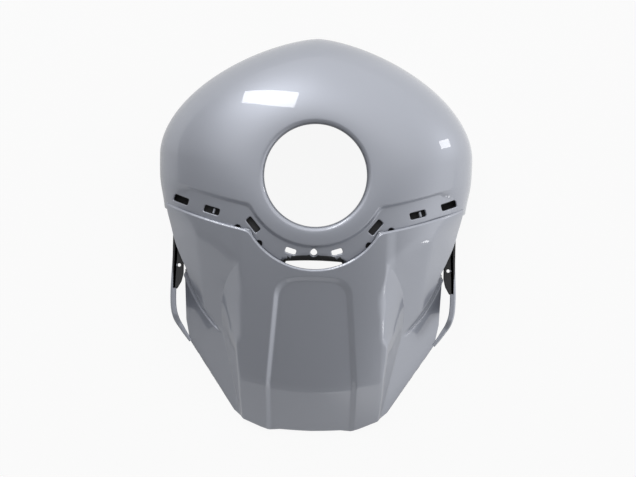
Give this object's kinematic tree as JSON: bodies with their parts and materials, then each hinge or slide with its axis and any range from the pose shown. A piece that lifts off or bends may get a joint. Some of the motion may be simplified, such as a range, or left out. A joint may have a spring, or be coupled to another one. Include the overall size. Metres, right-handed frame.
{
  "type": "motorbike fuel tank cover",
  "caption": "Gloss grey two-piece cover for a motorbike fuel tank, with a round filler opening, a slotted seam flange, side legs and a faceted, channelled rear cover.",
  "frame": {"origin": "centre of the filler opening, at the top of its straight wall, 4 mm under the flat ring round it", "axes": "+Z along the filler axis, up and out of the opening; +Y to the front of the bike; +X to the right seen from above with the front ahead"},
  "size_m": [0.4216, 0.5327, 0.15],
  "materials": {
    "grey_paint": "gloss clear-coated grey paint outside, bare black moulding inside",
    "black_steel": "black zinc"
  },
  "bodies": {
    "root": {"front_cover": "grey_paint", "rear_cover": "grey_paint", "cover_screws": "black_steel"}
  },
  "joints": []
}
